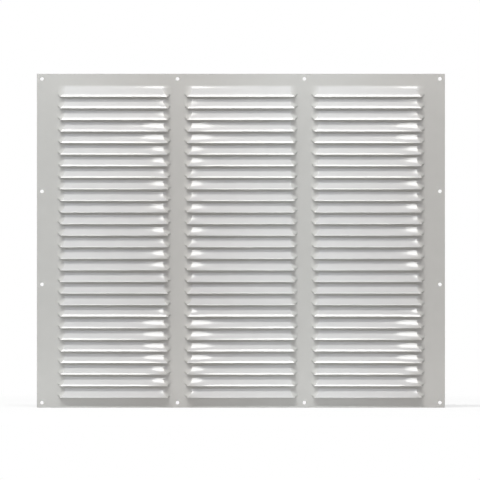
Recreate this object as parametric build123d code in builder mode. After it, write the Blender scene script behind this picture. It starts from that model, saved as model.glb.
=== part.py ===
# Ventilation grille pressed from one flat sheet: columns of louvres and a border of screw holes.
# Millimetres. +Z is up, the louvres face -Y and the origin is the middle of the sheet's back face.
import os
from math import radians, tan

from build123d import *

# Sheet
sheet_width = 550.0
sheet_height = 450.0
sheet_thickness = 0.8

# One louvre: a rounded bend, a flat slat and a flared lip between two mitred ends
louvre_length = 153.0
row_pitch = 15.6
land = 0.6            # flat strip between a lip and the bend of the louvre below it
lip_width = 3.8       # flared part, measured up the sheet
slat_angle = 23.0     # slopes against the sheet, in degrees
lip_angle = 33.0
bend_radius = 10.0    # from sheet to slat
flare_radius = 6.0    # from slat to lip
end_width = 6.6       # run of a mitred end at the lip
end_lean = 5.0        # how far its foot leans in from the lip to the bend

# Louvre pattern
mullion_width = 18.0  # plain strip between two columns
side_margin = 20.0    # least plain strip at each side
top_margin = 15.75
bottom_margin = 12.0  # least plain strip below the last lip

# Screw holes
hole_diameter = 4.8
hole_inset = 6.8      # from the sheet's edges to the hole centres
side_hole_spacing = 125.4
side_hole_rise = 3.9  # middle of the side holes above the middle of the sheet

# Sizes that follow
column_pitch = louvre_length + mullion_width
columns = int((sheet_width - 2 * side_margin + mullion_width) // column_pitch)
rows = int((sheet_height - top_margin - bottom_margin) // row_pitch)
middle_lip = sheet_height / 2 - top_margin - row_pitch * (rows + 1) / 2
hole_span_x = sheet_width - 2 * hole_inset
hole_span_z = sheet_height - 2 * hole_inset

# Profile of a louvre: heights above its lip, then rises above the face of the sheet
louvre_top = row_pitch - land
bend_line = louvre_top - bend_radius * tan(radians(slat_angle / 2))
slat_rise = (bend_line - lip_width) * tan(radians(slat_angle))
lip_rise = slat_rise + lip_width * tan(radians(lip_angle))
root_top = louvre_top + land / 2
root_depth = sheet_thickness / 2

# Form of one louvre standing on a face of the sheet (Z = 0), with its lip cut on Y = 0
with BuildPart() as louvre_form:
    with BuildSketch(Plane.YZ.offset(-louvre_length / 2)):
        with BuildLine():
            Polyline((root_top, 0), (bend_line, 0), (lip_width, slat_rise), (0, lip_rise))
            Polyline((0, lip_rise), (0, -root_depth), (root_top, -root_depth), (root_top, 0))
        make_face()
        fillet(vertices().sort_by_distance((bend_line, 0))[0], bend_radius)
        fillet(vertices().sort_by_distance((lip_width, slat_rise))[0], flare_radius)
    extrude(amount=louvre_length)
    for side in (-1, 1):
        up_the_foot = Vector(-side * end_lean, louvre_top, 0)
        up_the_end = Vector(-side * end_width, 0, lip_rise)
        outward = side * up_the_foot.cross(up_the_end)
        split(bisect_by=Plane((side * louvre_length / 2, 0, 0), z_dir=outward), keep=Keep.BOTTOM)

# The sheet: each form stands on the front face and is hollowed from the back face,
# which leaves a louvre of the sheet's own thickness, open below its lip
with BuildPart(Plane.XZ) as louvre_panel:
    with BuildSketch(Plane.XZ):
        Rectangle(sheet_width, sheet_height)
    extrude(amount=sheet_thickness)
    with Locations((0, middle_lip, sheet_thickness)):
        with GridLocations(column_pitch, row_pitch, columns, rows):
            add(louvre_form.part)
    with Locations((0, middle_lip, 0)):
        with GridLocations(column_pitch, row_pitch, columns, rows):
            add(louvre_form.part, mode=Mode.SUBTRACT)

    # Screw holes: the corners, the ends of the mullions and two at each side
    with BuildSketch(Plane.XZ):
        with GridLocations(hole_span_x, hole_span_z, 2, 2):
            Circle(hole_diameter / 2)
        with GridLocations(column_pitch, hole_span_z, columns - 1, 2):
            Circle(hole_diameter / 2)
        with Locations((0, side_hole_rise)):
            with GridLocations(hole_span_x, side_hole_spacing, 2, 2):
                Circle(hole_diameter / 2)
    extrude(amount=sheet_thickness, mode=Mode.SUBTRACT)

os.makedirs("parts", exist_ok=True)
louvre_panel.part.label = "louvre_panel"
export_step(louvre_panel.part, "parts/louvre_panel.step")
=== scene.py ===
# Pressed ventilation grille: one louvred sheet in light grey gloss paint, straight on in a white room
import math

import bpy
import mathutils
import numpy as np
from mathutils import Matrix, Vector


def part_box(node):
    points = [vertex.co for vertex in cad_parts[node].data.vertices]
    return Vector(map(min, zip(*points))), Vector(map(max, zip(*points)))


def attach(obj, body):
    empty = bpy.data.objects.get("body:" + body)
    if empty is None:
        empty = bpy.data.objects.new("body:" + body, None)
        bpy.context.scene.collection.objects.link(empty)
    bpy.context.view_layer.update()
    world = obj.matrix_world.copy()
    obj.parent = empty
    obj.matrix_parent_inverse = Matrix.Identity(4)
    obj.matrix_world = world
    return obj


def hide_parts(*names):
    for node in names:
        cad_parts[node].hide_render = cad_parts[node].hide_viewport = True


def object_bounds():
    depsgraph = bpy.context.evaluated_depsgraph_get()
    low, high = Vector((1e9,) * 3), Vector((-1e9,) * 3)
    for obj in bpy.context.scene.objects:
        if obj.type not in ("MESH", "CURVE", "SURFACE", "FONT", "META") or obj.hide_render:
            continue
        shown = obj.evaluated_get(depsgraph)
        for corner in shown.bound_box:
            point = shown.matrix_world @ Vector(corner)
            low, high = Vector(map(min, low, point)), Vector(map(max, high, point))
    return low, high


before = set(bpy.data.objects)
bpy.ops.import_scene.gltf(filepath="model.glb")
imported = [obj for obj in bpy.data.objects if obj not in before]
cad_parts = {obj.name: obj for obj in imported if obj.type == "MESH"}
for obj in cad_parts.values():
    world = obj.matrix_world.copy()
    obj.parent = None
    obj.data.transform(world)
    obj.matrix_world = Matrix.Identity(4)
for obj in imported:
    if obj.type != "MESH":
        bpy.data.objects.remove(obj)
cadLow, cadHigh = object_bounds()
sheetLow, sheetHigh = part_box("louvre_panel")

mm = 0.001
scene = bpy.context.scene
scene.view_settings.view_transform = "Standard"
print("frame loaded", [round(side / mm, 2) for side in (cadHigh - cadLow)], "mm")


# Louvred sheet, in millimetres; heights are measured forwards from the sheet
grille = {
    "halfWidth": (sheetHigh.x - sheetLow.x) / 2.0 / mm,
    "halfHeight": (sheetHigh.z - sheetLow.z) / 2.0 / mm,
    "gauge": 0.8,
    "columns": 3,
    "columnPitch": 171.0,
    "rows": 27,
    "rowPitch": 15.6,
    "firstCut": 195.35,      # height of the slit under the top row
    "kerf": 0.2,             # gap of a slit
    "droop": 1.4,            # how far a lip hangs below its slit
    "droopRun": 12.0,        # how far up the slat that stretch reaches
    "edgeRound": 0.12,       # rounding of every cut edge
    "sharpAngle": 40.0,      # edges that turn more than this are shaded sharp
}

# Section of a louvre: angles against the sheet in degrees, and distances up from the tip of the lip
section = {
    "bendTop": 16.8,             # where the bend starts
    "bendRun": 3.2,              # length of the bend
    "straight": (19.2, 0.0),     # slat of a plain row, and what its lip adds
    "flared": (17.7, 15.5),      # the same in a flared row
    "swollen": (15.6, -3.0),     # and at a pressed end
    "flareTop": 3.7,             # where the lip starts to flare
    "flareRun": 2.3,             # length over which it does
    "swell": 11.5,               # what a pressed end adds at the middle of the slat
    "swellMiddle": 7.9,
    "swellSpread": 3.7,
    "crease": 8.0,               # what it adds under the bend
    "creaseMiddle": 13.3,
    "creaseSpread": 1.0,
    "samples": 801,              # points at which the slope is summed
}

# Ends of a louvre: half lengths of the slit, of the foot of its cheeks and of their crest
cheek = {
    "slitHalf": 74.6,
    "footHalf": 76.9,
    "crestHalf": 65.8,
    "lipReach": 6.4,         # how much farther out the crest is at the lip
    "lipRun": 9.0,           # height over which it comes in again
    "corner": 2.0,           # height over which the foot runs in to the end of the slit
    "bulge": -0.1,           # below 0 the cheeks are hollow
}

# Press: how far the lips of some rows are flared, and which rows are pressed harder at one end
press = {
    "flares": {
        "wide": {"rows": (1, 2, 3, 20), "share": 0.74},
        "half": {"rows": (4, 5, 23, 24), "share": 0.45},
        "slight": {"rows": (6, 7, 8, 21, 22, 25, 26), "share": 0.18},
        "faint": {"rows": (9, 10), "share": 0.04},
    },
    "swellings": {
        "strong": {"rows": (4, 5, 21, 22, 23, 24), "share": 1.1, "reach": 39.0},
        "hard": {"rows": (25, 26), "share": 1.15, "reach": 20.0},
        "firm": {"rows": (6, 7, 9, 11, 13, 15, 16), "share": 0.96, "reach": 20.0},
        "soft": {"rows": (2, 3), "share": 0.46, "reach": 16.0},
        "light": {"rows": (8, 10, 12, 14), "share": 0.54, "reach": 9.0},
        "low": {"rows": (20,), "share": 0.7, "reach": 14.0},
        "trace": {"rows": (17, 27), "share": 0.46, "reach": 9.0},
    },
    "ends": (1, -1, 1),      # which end is pressed, by column
    "flareGain": 0.55,       # how much more the bottom row has of its flare, and the top row less
    "swellGain": 0.3,        # the same for the swelling
    "lipGain": 0.25,         # how much more a fully flared row swells
    "creaseReach": 50.0,     # length over which the crease grows to the pressed end
}

# Screw holes along the border
screwHoles = {
    "radius": 2.4,
    "rim": 0.5,              # width of the ring of faces at the hole
    "block": 4.4,            # half side of the square patch round a hole
    "blockLines": 6,         # lines of the grid through that patch
    "slack": 0.01,           # tolerance in finding the patch on the grid
    "sideX": 268.2,
    "mullionX": 85.5,
    "edgeZ": 218.2,
    "sideZ": (66.6, -58.8),
}
bothSides = (-1, 1)
edgeX = (screwHoles["sideX"], screwHoles["mullionX"])
holePlaces = [(sx * x, sz * screwHoles["edgeZ"]) for x in edgeX for sx in bothSides for sz in bothSides]
holePlaces += [(sx * screwHoles["sideX"], z) for sx in bothSides for z in screwHoles["sideZ"]]

# Grid over a louvre: its lines lie close over the cheeks and the lip, and wide apart along the slat
gridLines = {
    "outside": 1.2,                                        # one line beyond the foot of the cheek
    "cheekShares": (0.0, 0.2, 0.4, 0.6, 0.8, 0.96, 1.0),   # shares of the way from foot to crest
    "slatInsets": (0.3, 3.0, 8.0, 16.0, 30.0),             # distances in from the crest
    "bendHeights": (14.2, 13.0, 12.0, 11.0),               # heights over the slit, from the bend down
    "slatHeights": (9.5, 7.8, 6.2, 4.9),
    "lipHeights": (3.9, 3.0, 2.2, 1.5, 0.7, 0.0),
    "offRow": 99.0,                                        # height given to lines outside the rows
}
tiny = 1e-6


# Smooth step: three squares less two cubes of the share, held between 0 and 1
def smoothStep(share):
    share = np.clip(share, 0.0, 1.0)
    return share * share * (3.0 - 2.0 * share)


# Height of the section at a distance up from the tip: the running sum of the slope, from the bend down.
# The angle is a smooth step to the slat, another to the lip, and a bell each for swelling and crease
def sectionHeight(up, slat, flare, swell, crease):
    fine = np.linspace(section["bendTop"], 0.0, section["samples"])
    angle = smoothStep((section["bendTop"] - fine) / section["bendRun"]) * slat
    angle = angle + smoothStep((section["flareTop"] - fine) / section["flareRun"]) * flare
    angle = angle + np.exp(-((fine - section["swellMiddle"]) / section["swellSpread"]) ** 2) * swell
    angle = angle + np.exp(-((fine - section["creaseMiddle"]) / section["creaseSpread"]) ** 2) * crease
    slope = np.tan(np.radians(angle))
    step = fine[0] - fine[1]
    rise = np.concatenate([[0.0], np.cumsum((slope[1:] + slope[:-1]) / 2.0 * step)])
    return np.interp(up, fine[::-1], rise[::-1])


# Gain by row: grows evenly from one less the gain at the top row to one more at the bottom row
def rowGain(row, gain):
    middleRow = (grille["rows"] - 1) / 2.0
    return 1.0 + gain * (row - middleRow) / middleRow


# Share of the flare in each row: that of the group it belongs to, times the gain by row
def lipShare(row):
    groups = press["flares"].values()
    total = sum(np.isin(row + 1, group["rows"]) * group["share"] for group in groups)
    return total * rowGain(row, press["flareGain"])


# Share of a shape that grows towards the pressed end: a smooth step over its reach, full at the crest
def towardsEnd(along, reach):
    return smoothStep((along - cheek["crestHalf"] + reach) / reach)


# Share of the swelling along a louvre: that of its group, growing over its reach to the pressed end, times
# the gain by row and the gain of flared rows
def swellShare(along, row, side):
    total = np.zeros(np.shape(along))
    for group in press["swellings"].values():
        inGroup = np.isin(row + 1, group["rows"])
        total = total + inGroup * group["share"] * towardsEnd(along * side, group["reach"])
    return total * rowGain(row, press["swellGain"]) * (1.0 + press["lipGain"] * lipShare(row))


# Stretch of the lip below its slit: the droop times the square of what is left of its run
def lipStretch(flat):
    return grille["droop"] * np.clip(1.0 - flat / grille["droopRun"], 0.0, 1.0) ** 2


# Distance up from the tip of the formed lip: the flat distance from the slit, plus droop, less stretch
def formedUp(flat):
    return np.minimum(flat + grille["droop"] - lipStretch(flat), section["bendTop"])


# Half length at the foot: a smooth step out from the slit's end, at the bottom and the top of a louvre
def footLine(flat):
    room = np.minimum(flat, grille["rowPitch"] - grille["kerf"] - flat)
    beyondSlit = cheek["footHalf"] - cheek["slitHalf"]
    return cheek["slitHalf"] + beyondSlit * smoothStep(room / cheek["corner"])


# Half length at the crest: its least, plus the lip's reach times the square of what is left of its run
def crestLine(flat):
    return cheek["crestHalf"] + cheek["lipReach"] * np.clip(1.0 - flat / cheek["lipRun"], 0.0, 1.0) ** 2


# Cheek ramp: the share t of the way from foot to crest, plus the bulge times t times one less t
def cheekRamp(along, flat):
    foot = footLine(flat)
    share = np.clip((foot - np.abs(along)) / (foot - crestLine(flat)), 0.0, 1.0)
    return share + cheek["bulge"] * share * (1.0 - share)


# Louvre surface: height of the section times the cheek ramp, for x along the sheet and a flat distance up
# from the row's slit; flare, swelling and crease are mixed into the plain section by their shares
def louvreHeight(x, row, flat):
    column = np.clip(np.rint(x / grille["columnPitch"]), -1, 1)
    along = x - column * grille["columnPitch"]
    up = formedUp(flat)
    ramp = cheekRamp(along, flat)
    side = np.asarray(press["ends"])[(column + 1).astype(int)]
    straight = sectionHeight(up, *section["straight"], 0.0, 0.0)
    height = straight + lipShare(row) * (sectionHeight(up, *section["flared"], 0.0, 0.0) - straight)
    swollen = sectionHeight(up, *section["swollen"], section["swell"], 0.0)
    height = height + swellShare(along, row, side) * (swollen - straight)
    creased = sectionHeight(up, *section["straight"], 0.0, section["crease"])
    height = height + towardsEnd(along * side, press["creaseReach"]) * (creased - straight)
    inRows = (row >= 0) & (row < grille["rows"])
    return np.where(inRows, height * ramp, 0.0), np.where(inRows, ramp, 0.0)


# Lines of the grid across the sheet, and the shares of the foot's and the crest's shifts that each takes,
# so that lines keep to the foot and the crest
def linesAcross():
    shares = np.array(gridLines["cheekShares"])
    insets = np.array(gridLines["slatInsets"])
    onCheek = cheek["footHalf"] - shares * (cheek["footHalf"] - cheek["crestHalf"])
    beyondFoot = cheek["footHalf"] + gridLines["outside"]
    half = np.concatenate([[beyondFoot], onCheek, cheek["crestHalf"] - insets])
    footFollow = np.concatenate([[0.0], 1.0 - shares, np.zeros(insets.size)])
    crestFollow = np.concatenate([[0.0], shares, np.ones(insets.size)])
    follow = np.stack([footFollow, crestFollow])
    louvre = np.concatenate([-half, half[::-1]])
    louvreSlide = np.concatenate([-follow, follow[:, ::-1]], axis=1)
    centres = (np.arange(grille["columns"]) - 1) * grille["columnPitch"]
    patch = np.linspace(-1.0, 1.0, screwHoles["blockLines"]) * screwHoles["block"]
    holeX = np.unique([place[0] for place in holePlaces])
    edges = np.array([-grille["halfWidth"], grille["halfWidth"]])
    still = np.concatenate([(holeX[:, None] + patch).ravel(), edges])
    lines = np.concatenate([(centres[:, None] + louvre).ravel(), still])
    slide = np.concatenate([np.tile(louvreSlide, centres.size), np.zeros((2, still.size))], axis=1)
    order = np.argsort(lines)
    return lines[order], slide[:, order]


# Lines of the grid down the sheet, with the row of each and its flat distance up from that row's slit
def linesDown():
    bendStart = grille["rowPitch"] - grille["kerf"]
    up = np.concatenate([
        [bendStart], gridLines["bendHeights"], gridLines["slatHeights"], gridLines["lipHeights"]])
    rows = np.arange(grille["rows"])
    cuts = grille["firstCut"] - rows * grille["rowPitch"]
    patch = np.linspace(1.0, -1.0, screwHoles["blockLines"]) * screwHoles["block"]
    holeZ = screwHoles["edgeZ"]
    head = np.concatenate([[grille["halfHeight"]], holeZ + patch])
    tail = np.concatenate([[cuts[-1] - grille["kerf"]], -holeZ + patch, [-grille["halfHeight"]]])
    z = np.concatenate([head, (cuts[:, None] + up).ravel(), tail])
    above = np.full(head.size, -1)
    below = np.full(tail.size, grille["rows"])
    row = np.concatenate([above, np.repeat(rows, up.size), below])
    aboveUp = np.full(head.size, gridLines["offRow"])
    belowUp = np.full(tail.size, gridLines["offRow"])
    return z, row, np.concatenate([aboveUp, np.tile(up, rows.size), belowUp])


# Sheet as a height field over the grid, slits and hole patches left out; each screw hole gets two rings of
# faces, from its patch to a circle round the hole and on to the hole
def sheetFront():
    xLine, slide = linesAcross()
    zLine, rowLine, upLine = linesDown()
    x, z = np.meshgrid(xLine, zLine)
    x = x + slide[0] * (footLine(upLine) - cheek["footHalf"])[:, None]
    x = x + slide[1] * (crestLine(upLine) - cheek["crestHalf"])[:, None]
    row = np.repeat(rowLine[:, None], xLine.size, axis=1)
    up = np.repeat(upLine[:, None], xLine.size, axis=1)
    height, ramp = louvreHeight(x, row, up)
    z = z - ramp * lipStretch(up)
    points = np.stack([x, -height, z], axis=-1).reshape(-1, 3)
    index = np.arange(x.size).reshape(x.shape)
    middleX = (xLine[1:] + xLine[:-1]) / 2.0
    centre = np.clip(np.rint(middleX / grille["columnPitch"]), -1, 1) * grille["columnPitch"]
    overLouvre = np.abs(middleX - centre) < cheek["footHalf"]
    underLip = upLine[:-1] == 0.0
    keep = ~(underLip[:, None] & overLouvre[None, :])
    rings = []
    ringPoints = [points]
    count = len(points)
    patchReach = screwHoles["block"] - screwHoles["slack"]
    for holeX, holeZ in holePlaces:
        left = np.searchsorted(xLine, holeX - screwHoles["block"] - screwHoles["slack"])
        right = np.searchsorted(xLine, holeX + patchReach)
        above = np.flatnonzero(zLine > holeZ + patchReach)[-1]
        below = np.flatnonzero(zLine < holeZ - patchReach)[0]
        keep[above:below, left:right] = False
        loop = np.concatenate([
            index[above, left:right], index[above:below, right],
            index[below, right:left:-1], index[below:above:-1, left]])
        angle = np.arctan2(points[loop, 2] - holeZ, points[loop, 0] - holeX)
        outer = loop
        for radius in (screwHoles["radius"] + screwHoles["rim"], screwHoles["radius"]):
            circleX = holeX + radius * np.cos(angle)
            circleZ = holeZ + radius * np.sin(angle)
            inner = count + np.arange(loop.size)
            rings.append(np.stack([outer, inner, np.roll(inner, -1), np.roll(outer, -1)], axis=-1))
            ringPoints.append(np.stack([circleX, np.zeros_like(angle), circleZ], axis=-1))
            count += loop.size
            outer = inner
    corners = [index[:-1, :-1], index[1:, :-1], index[1:, 1:], index[:-1, 1:]]
    cells = np.stack(corners, axis=-1)[keep]
    points = np.concatenate(ringPoints)
    faces = np.concatenate([cells] + rings)
    used, faces = np.unique(faces, return_inverse=True)
    return points[used], faces.reshape(-1, 4)


# Open edges of a set of faces: those whose reverse belongs to no other face
def openEdges(faces):
    start = faces.ravel()
    end = np.roll(faces, -1, axis=1).ravel()
    span = faces.max() + 1
    lone = ~np.isin(start * span + end, end * span + start)
    return start[lone], end[lone]


# Sheet closed with its back, one gauge behind the front; at cut edges both draw in by the rounding, and a
# middle line at full size joins them
def closedSheet():
    front, faces = sheetFront()
    start, end = openEdges(faces)
    along = front[end] - front[start]
    out = np.stack([along[:, 2], np.zeros(len(along)), -along[:, 0]], axis=-1)
    out = out / np.maximum(np.linalg.norm(out, axis=1, keepdims=True), tiny)
    outward = np.zeros_like(front)
    np.add.at(outward, start, out)
    np.add.at(outward, end, out)
    length = np.linalg.norm(outward, axis=1, keepdims=True)
    outward = np.where(length > tiny, outward / np.maximum(length, tiny), 0.0)
    inset = front - outward * grille["edgeRound"]
    gauge = np.array([0.0, grille["gauge"], 0.0])
    total = len(front)
    edge = np.unique(start)
    middleOf = np.zeros(total, dtype=int)
    middleOf[edge] = 2 * total + np.arange(edge.size)
    points = np.concatenate([inset - gauge, inset, front[edge] - gauge / 2.0])
    upper = np.stack([end, start, middleOf[start], middleOf[end]], axis=-1)
    lower = np.stack([middleOf[end], middleOf[start], start + total, end + total], axis=-1)
    return points, np.concatenate([faces, faces[:, ::-1] + total, upper, lower])


# Mesh object from whole arrays of points in millimetres and four-cornered faces
def addMesh(name, points, faces, material):
    mesh = bpy.data.meshes.new(name)
    mesh.vertices.add(len(points))
    mesh.vertices.foreach_set("co", (points * mm).astype(np.float32).ravel())
    mesh.loops.add(faces.size)
    mesh.loops.foreach_set("vertex_index", faces.astype(np.int32).ravel())
    mesh.polygons.add(len(faces))
    mesh.polygons.foreach_set("loop_start", np.arange(0, faces.size, 4, dtype=np.int32))
    mesh.polygons.foreach_set("loop_total", np.full(len(faces), 4, dtype=np.int32))
    mesh.update(calc_edges=True)
    mesh.validate()
    mesh.shade_smooth()
    mesh.set_sharp_from_angle(angle=math.radians(grille["sharpAngle"]))
    mesh.materials.append(material)
    piece = bpy.data.objects.new(name, mesh)
    scene.collection.objects.link(piece)
    return piece


# Grey gloss paint; lengths are in metres, and the scales of its noises are counted per metre
greyPaint = {
    # The two greys are painted light and painted shade: the sheet swings from the lit cool grey to the
    # darker warm grey
    "litCool": (0.527, 0.527, 0.509, 1.0),
    "shadedWarm": (0.477, 0.466, 0.446, 1.0),
    "shadeDriftLength": 0.345,
    "mostLitAt": -0.262,       # where along x the tone is coolest
    "mottleScale": 45.0,
    "mottleDetail": 6.0,
    "mottleRange": (0.3, 0.7),
    "mottle": 0.03,          # share by which the mottle darkens the colour
    "peelScale": 900.0,
    "peelDetail": 2.0,
    "peelStrength": 0.006,
    "peelDepth": 0.0005,
    "roughLow": 0.09,
    "roughHigh": 0.13,
    "index": 1.54,
}


# The colour goes from a lighter cool grey to a darker warm grey and back across the sheet by a cosine of
# x, which is painted light and painted shade; a noise darkens it a little and varies the gloss, and a fine
# noise gives the orange peel in the bump
def makePaint():
    material = bpy.data.materials.new("grey_paint")
    material.use_nodes = True
    nodes = material.node_tree.nodes
    links = material.node_tree.links
    shader = nodes["Principled BSDF"]
    shader.inputs["IOR"].default_value = greyPaint["index"]
    place = nodes.new("ShaderNodeTexCoord")
    mottle = nodes.new("ShaderNodeTexNoise")
    mottle.inputs["Scale"].default_value = greyPaint["mottleScale"]
    mottle.inputs["Detail"].default_value = greyPaint["mottleDetail"]
    links.new(place.outputs["Object"], mottle.inputs["Vector"])
    split = nodes.new("ShaderNodeSeparateXYZ")
    links.new(place.outputs["Object"], split.inputs[0])
    phase = nodes.new("ShaderNodeMapRange")
    phase.clamp = False
    phase.inputs["From Min"].default_value = greyPaint["mostLitAt"]
    phase.inputs["From Max"].default_value = greyPaint["mostLitAt"] + greyPaint["shadeDriftLength"]
    phase.inputs["To Max"].default_value = 2.0 * math.pi
    links.new(split.outputs["X"], phase.inputs["Value"])
    wave = nodes.new("ShaderNodeMath")
    wave.operation = "COSINE"
    links.new(phase.outputs["Result"], wave.inputs[0])
    shadeDrift = nodes.new("ShaderNodeMapRange")
    shadeDrift.inputs["From Min"].default_value = 1.0
    shadeDrift.inputs["From Max"].default_value = -1.0
    links.new(wave.outputs[0], shadeDrift.inputs["Value"])
    # Painted light and shade: the lighter cool grey and the darker warm grey mixed by a cosine of x
    shadedTone = nodes.new("ShaderNodeMix")
    shadedTone.data_type = "RGBA"
    shadedTone.inputs["A"].default_value = greyPaint["litCool"]
    shadedTone.inputs["B"].default_value = greyPaint["shadedWarm"]
    links.new(shadeDrift.outputs["Result"], shadedTone.inputs["Factor"])
    shade = nodes.new("ShaderNodeMapRange")
    shade.inputs["From Min"].default_value = greyPaint["mottleRange"][0]
    shade.inputs["From Max"].default_value = greyPaint["mottleRange"][1]
    shade.inputs["To Min"].default_value = 1.0 - greyPaint["mottle"]
    links.new(mottle.outputs["Fac"], shade.inputs["Value"])
    colour = nodes.new("ShaderNodeMix")
    colour.data_type = "RGBA"
    colour.blend_type = "MULTIPLY"
    colour.inputs["Factor"].default_value = 1.0
    links.new(shadedTone.outputs["Result"], colour.inputs["A"])
    links.new(shade.outputs["Result"], colour.inputs["B"])
    links.new(colour.outputs["Result"], shader.inputs["Base Color"])
    gloss = nodes.new("ShaderNodeMapRange")
    gloss.inputs["To Min"].default_value = greyPaint["roughLow"]
    gloss.inputs["To Max"].default_value = greyPaint["roughHigh"]
    links.new(mottle.outputs["Fac"], gloss.inputs["Value"])
    links.new(gloss.outputs["Result"], shader.inputs["Roughness"])
    peel = nodes.new("ShaderNodeTexNoise")
    peel.inputs["Scale"].default_value = greyPaint["peelScale"]
    peel.inputs["Detail"].default_value = greyPaint["peelDetail"]
    links.new(place.outputs["Object"], peel.inputs["Vector"])
    bump = nodes.new("ShaderNodeBump")
    bump.inputs["Strength"].default_value = greyPaint["peelStrength"]
    bump.inputs["Distance"].default_value = greyPaint["peelDepth"]
    links.new(peel.outputs["Fac"], bump.inputs["Height"])
    links.new(bump.outputs["Normal"], shader.inputs["Normal"])
    return material


sheetPoints, sheetFaces = closedSheet()
panel = addMesh("louvredSheet", sheetPoints, sheetFaces, makePaint())
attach(panel, "root")
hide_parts("louvre_panel")
print("sheet made", len(sheetPoints), "points", 2 * len(sheetFaces), "triangles")


# Studio: a white room and a white floor, in metres
studio = {
    "room": 0.375,
    "floorColour": (0.86, 0.86, 0.86, 1.0),
    "floorBounce": (0.5, 0.5, 0.5, 1.0),     # what the floor throws back on the grille
    "floorHalf": 40.0,
    "shadowReach": (0.6, 1.2),               # where the shadow starts to fade, and where it is gone
    "nearGlow": 0.6,                         # share of plain white that the camera sees near the grille
}
white = (1.0, 1.0, 1.0)
coolWhite = (0.76, 0.81, 1.0)

# Lamps: a long narrow one high up for the shadows, a wash along the top and the bottom edge, a fill in
# front and one behind, and two panels that only the gloss reflects
lamps = {
    "softLamp": {
        "from": (-3.5, -5.166, 10.831), "size": (12.0, 0.2), "radiance": 195.0,
        "colour": white, "seenIn": "diffuse"},
    "topWash": {
        "from": (0.0, -0.06, 0.26), "size": (0.62, 0.03), "radiance": 1.15,
        "colour": white, "seenIn": "diffuse"},
    "floorWash": {
        "from": (0.0, -0.055, -0.2235), "size": (0.62, 0.02), "radiance": 1.2,
        "colour": white, "seenIn": "diffuse"},
    "frontFill": {
        "from": (0.0, -2.2, 0.0), "size": (1.5, 0.44), "radiance": 3.4,
        "colour": white, "seenIn": "diffuse"},
    "backFill": {
        "from": (0.8, 2.4, 0.0), "size": (1.5, 0.44), "radiance": 8.0,
        "colour": white, "seenIn": "diffuse"},
    "brightStrip": {
        "from": (0.0, -6.762, 9.913), "size": (7.6, 5.67), "radiance": 11.0,
        "colour": white, "seenIn": "gloss"},
    "dimPanel": {
        "from": (0.0, -4.747, 3.669), "size": (6.4, 0.99), "radiance": 2.0,
        "colour": coolWhite, "seenIn": "gloss"},
}


# White room: the camera and reflections see plain white, and everything else gets the room's own level
def makeRoom():
    world = bpy.data.worlds.new("whiteRoom")
    world.use_nodes = True
    scene.world = world
    nodes = world.node_tree.nodes
    links = world.node_tree.links
    nodes.clear()
    output = nodes.new("ShaderNodeOutputWorld")
    light = nodes.new("ShaderNodeBackground")
    light.inputs["Strength"].default_value = studio["room"]
    seen = nodes.new("ShaderNodeBackground")
    path = nodes.new("ShaderNodeLightPath")
    either = nodes.new("ShaderNodeMath")
    either.operation = "MAXIMUM"
    links.new(path.outputs["Is Camera Ray"], either.inputs[0])
    links.new(path.outputs["Is Glossy Ray"], either.inputs[1])
    anyOf = nodes.new("ShaderNodeMath")
    anyOf.operation = "MAXIMUM"
    links.new(either.outputs[0], anyOf.inputs[0])
    links.new(path.outputs["Is Transmission Ray"], anyOf.inputs[1])
    for background in (light, seen):
        background.inputs["Color"].default_value = (*white, 1.0)
    mix = nodes.new("ShaderNodeMixShader")
    links.new(anyOf.outputs[0], mix.inputs[0])
    links.new(light.outputs[0], mix.inputs[1])
    links.new(seen.outputs[0], mix.inputs[2])
    links.new(mix.outputs[0], output.inputs["Surface"])


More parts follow.
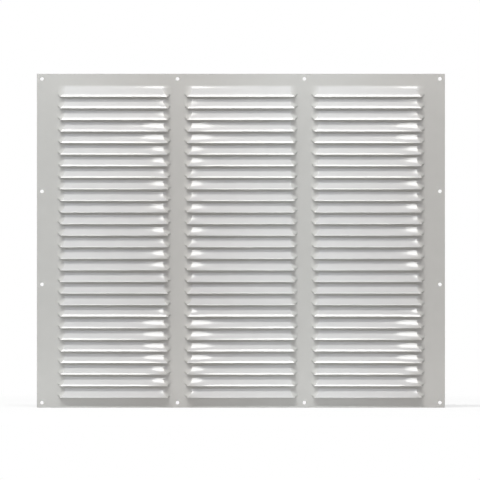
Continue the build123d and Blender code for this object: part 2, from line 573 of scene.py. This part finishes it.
# Floor material: white diffuse near the grille, where its shadow lies, fading to plain white farther off
def makeFloorMaterial():
    material = bpy.data.materials.new("whiteFloor")
    material.use_nodes = True
    nodes = material.node_tree.nodes
    links = material.node_tree.links
    nodes.clear()
    output = nodes.new("ShaderNodeOutputMaterial")
    matt = nodes.new("ShaderNodeBsdfDiffuse")
    bounce = nodes.new("ShaderNodeMix")
    bounce.data_type = "RGBA"
    bounce.inputs["A"].default_value = studio["floorColour"]
    bounce.inputs["B"].default_value = studio["floorBounce"]
    glow = nodes.new("ShaderNodeEmission")
    glow.inputs["Color"].default_value = (*white, 1.0)
    path = nodes.new("ShaderNodeLightPath")
    links.new(path.outputs["Is Diffuse Ray"], bounce.inputs["Factor"])
    links.new(bounce.outputs["Result"], matt.inputs["Color"])
    place = nodes.new("ShaderNodeTexCoord")
    reach = nodes.new("ShaderNodeVectorMath")
    reach.operation = "LENGTH"
    links.new(place.outputs["Object"], reach.inputs[0])
    far = nodes.new("ShaderNodeMapRange")
    far.interpolation_type = "SMOOTHSTEP"
    far.inputs["From Min"].default_value = studio["shadowReach"][0]
    far.inputs["From Max"].default_value = studio["shadowReach"][1]
    far.inputs["To Min"].default_value = studio["nearGlow"]
    links.new(reach.outputs["Value"], far.inputs["Value"])
    seen = nodes.new("ShaderNodeMath")
    seen.operation = "MULTIPLY"
    links.new(far.outputs["Result"], seen.inputs[0])
    links.new(path.outputs["Is Camera Ray"], seen.inputs[1])
    mix = nodes.new("ShaderNodeMixShader")
    links.new(seen.outputs[0], mix.inputs[0])
    links.new(matt.outputs[0], mix.inputs[1])
    links.new(glow.outputs[0], mix.inputs[2])
    links.new(mix.outputs[0], output.inputs["Surface"])
    return material


# Area lamp tipped to the grille's middle line, long sides level; power is radiance times area times pi
def makeLamp(name, lampSpec):
    data = bpy.data.lights.new(name, "AREA")
    data.shape = "RECTANGLE"
    data.color = lampSpec["colour"]
    data.size, data.size_y = lampSpec["size"]
    data.energy = lampSpec["radiance"] * data.size * data.size_y * math.pi
    lamp = bpy.data.objects.new(name, data)
    lamp.location = lampSpec["from"]
    towards = mathutils.Vector((0.0, -lamp.location.y, -lamp.location.z))
    lamp.rotation_euler = towards.to_track_quat("-Z", "Y").to_euler()
    lamp.visible_camera = False
    lamp.visible_diffuse = lampSpec["seenIn"] == "diffuse"
    lamp.visible_glossy = lampSpec["seenIn"] == "gloss"
    scene.collection.objects.link(lamp)


# Floor: one square at the height of the grille's lower edge
def makeFloor():
    half = studio["floorHalf"] / mm
    square = np.array([(-half, -half, 0.0), (half, -half, 0.0), (half, half, 0.0), (-half, half, 0.0)])
    floor = addMesh("floor", square, np.array([[0, 1, 2, 3]]), makeFloorMaterial())
    floor.location.z = cadLow.z


makeRoom()
for lampName, lampSpec in lamps.items():
    makeLamp(lampName, lampSpec)
makeFloor()
print("studio made")


# Camera straight on, far away; the picture covers 647 mm at the sheet
photo = {
    "distance": 12.0,
    "frameWidth": 0.6470,
    "aim": (-0.00125, 0.00097),
    "sensor": 36.0,
    "clipEnd": 200.0,
}


# The lens is the sensor's width times the distance, over the width of the picture at the sheet
def makeCamera():
    data = bpy.data.cameras.new("frontCamera")
    data.sensor_width = photo["sensor"]
    data.lens = photo["sensor"] * photo["distance"] / photo["frameWidth"]
    data.clip_end = photo["clipEnd"]
    camera = bpy.data.objects.new("frontCamera", data)
    camera.location = (photo["aim"][0], -photo["distance"], photo["aim"][1])
    camera.rotation_euler = (math.radians(90.0), 0.0, 0.0)
    scene.collection.objects.link(camera)
    scene.camera = camera


makeCamera()
print("camera made")
